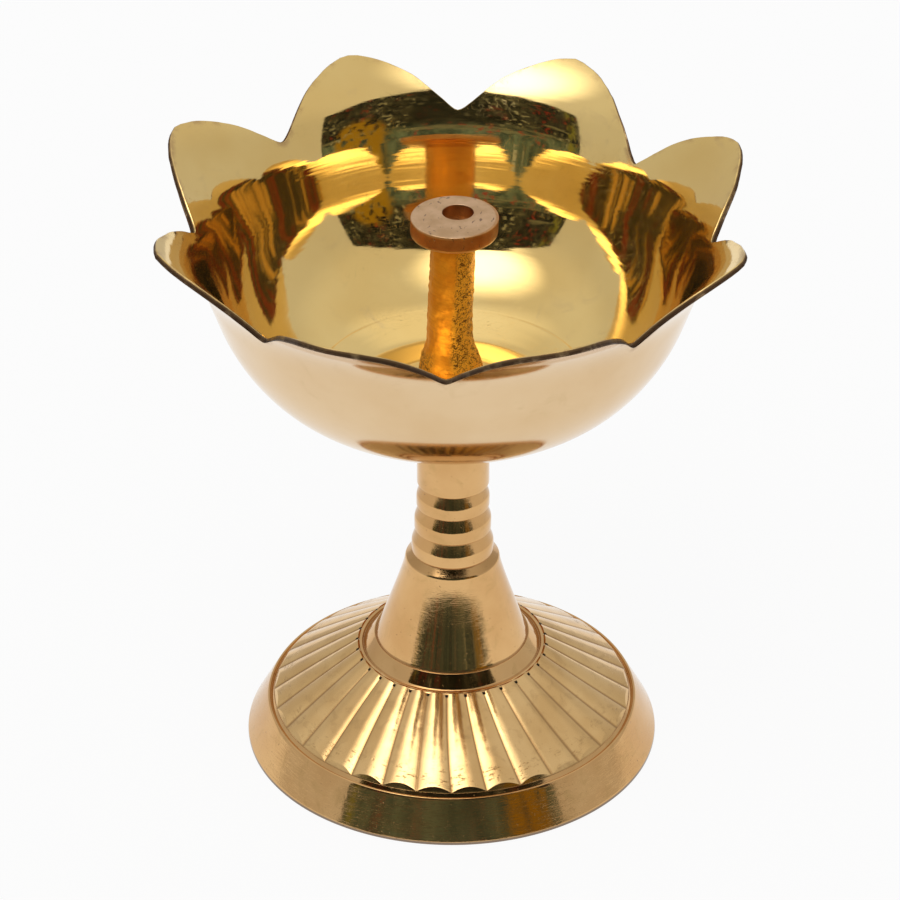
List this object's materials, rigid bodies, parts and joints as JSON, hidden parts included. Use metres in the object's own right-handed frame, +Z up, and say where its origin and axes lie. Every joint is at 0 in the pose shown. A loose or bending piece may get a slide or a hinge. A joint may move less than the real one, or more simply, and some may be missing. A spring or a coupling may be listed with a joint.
{
  "type": "lotus diya",
  "caption": "Brass lotus oil lamp: a petal-edged bowl with a raised wick post, on a ringed stem and a ribbed hollow foot.",
  "frame": {"origin": "centre of the foot's ring on the ground", "axes": "+Z up the stem, -Y to the picture's front"},
  "size_m": [0.0849, 0.085, 0.0939],
  "materials": {
    "pedestal": "turned and polished",
    "lotus_bowl": "mirror polished inside, satin outside",
    "sealing_washer": "plain pressed fibre",
    "wick_post": "raw casting, roughly turned"
  },
  "bodies": {
    "root": {"pedestal": "pedestal", "lotus_bowl": "lotus_bowl", "sealing_washer": "sealing_washer", "wick_post": "wick_post"}
  },
  "joints": []
}
